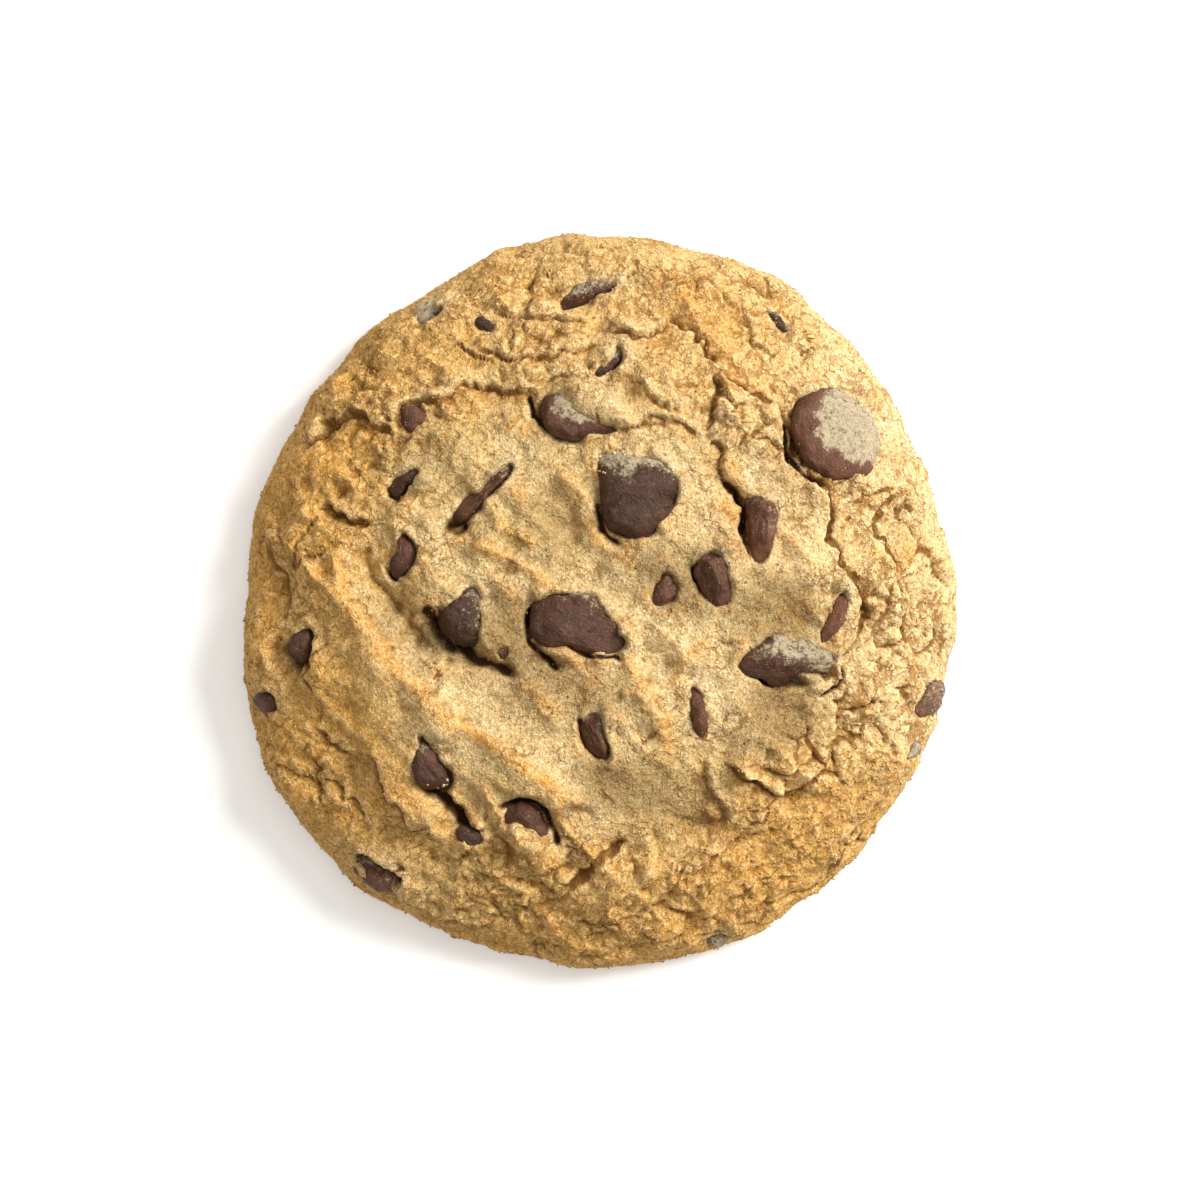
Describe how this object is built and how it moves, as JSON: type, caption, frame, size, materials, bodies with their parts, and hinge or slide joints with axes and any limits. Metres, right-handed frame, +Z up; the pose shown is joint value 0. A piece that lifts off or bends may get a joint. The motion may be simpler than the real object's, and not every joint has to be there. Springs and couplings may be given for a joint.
{
  "type": "chocolate chip cookie",
  "caption": "Round soft-baked chocolate chip cookie with a domed, folded and cracked golden crust and dark chocolate chips set into it.",
  "frame": {"origin": "under the middle of the cookie, on the surface it rests on", "axes": "+Z up through the cookie's thickness, +Y towards the far edge across its slightly longer width, +X to the right"},
  "size_m": [0.0803, 0.0824, 0.0166],
  "materials": {
    "crust": "matte, fine sandy crumb, baked golden",
    "chocolate": "satin dark chocolate with a faint bloom"
  },
  "bodies": {
    "root": {"dough": "crust", "chip_01": "chocolate", "chip_02": "chocolate", "chip_03": "chocolate", "chip_04": "chocolate", "chip_05": "chocolate", "chip_06": "chocolate", "chip_07": "chocolate", "chip_08": "chocolate", "chip_09": "chocolate", "chip_10": "chocolate", "chip_11": "chocolate", "chip_12": "chocolate", "chip_13": "chocolate", "chip_14": "chocolate", "chip_15": "chocolate", "chip_16": "chocolate", "chip_17": "chocolate", "chip_18": "chocolate", "chip_19": "chocolate", "chip_20": "chocolate", "chip_21": "chocolate", "chip_22": "chocolate", "chip_23": "chocolate", "chip_24": "chocolate", "chip_25": "chocolate", "chip_26": "chocolate", "chip_27": "chocolate", "chip_28": "chocolate", "chip_29": "chocolate", "chip_30": "chocolate", "chip_31": "chocolate"}
  },
  "joints": []
}
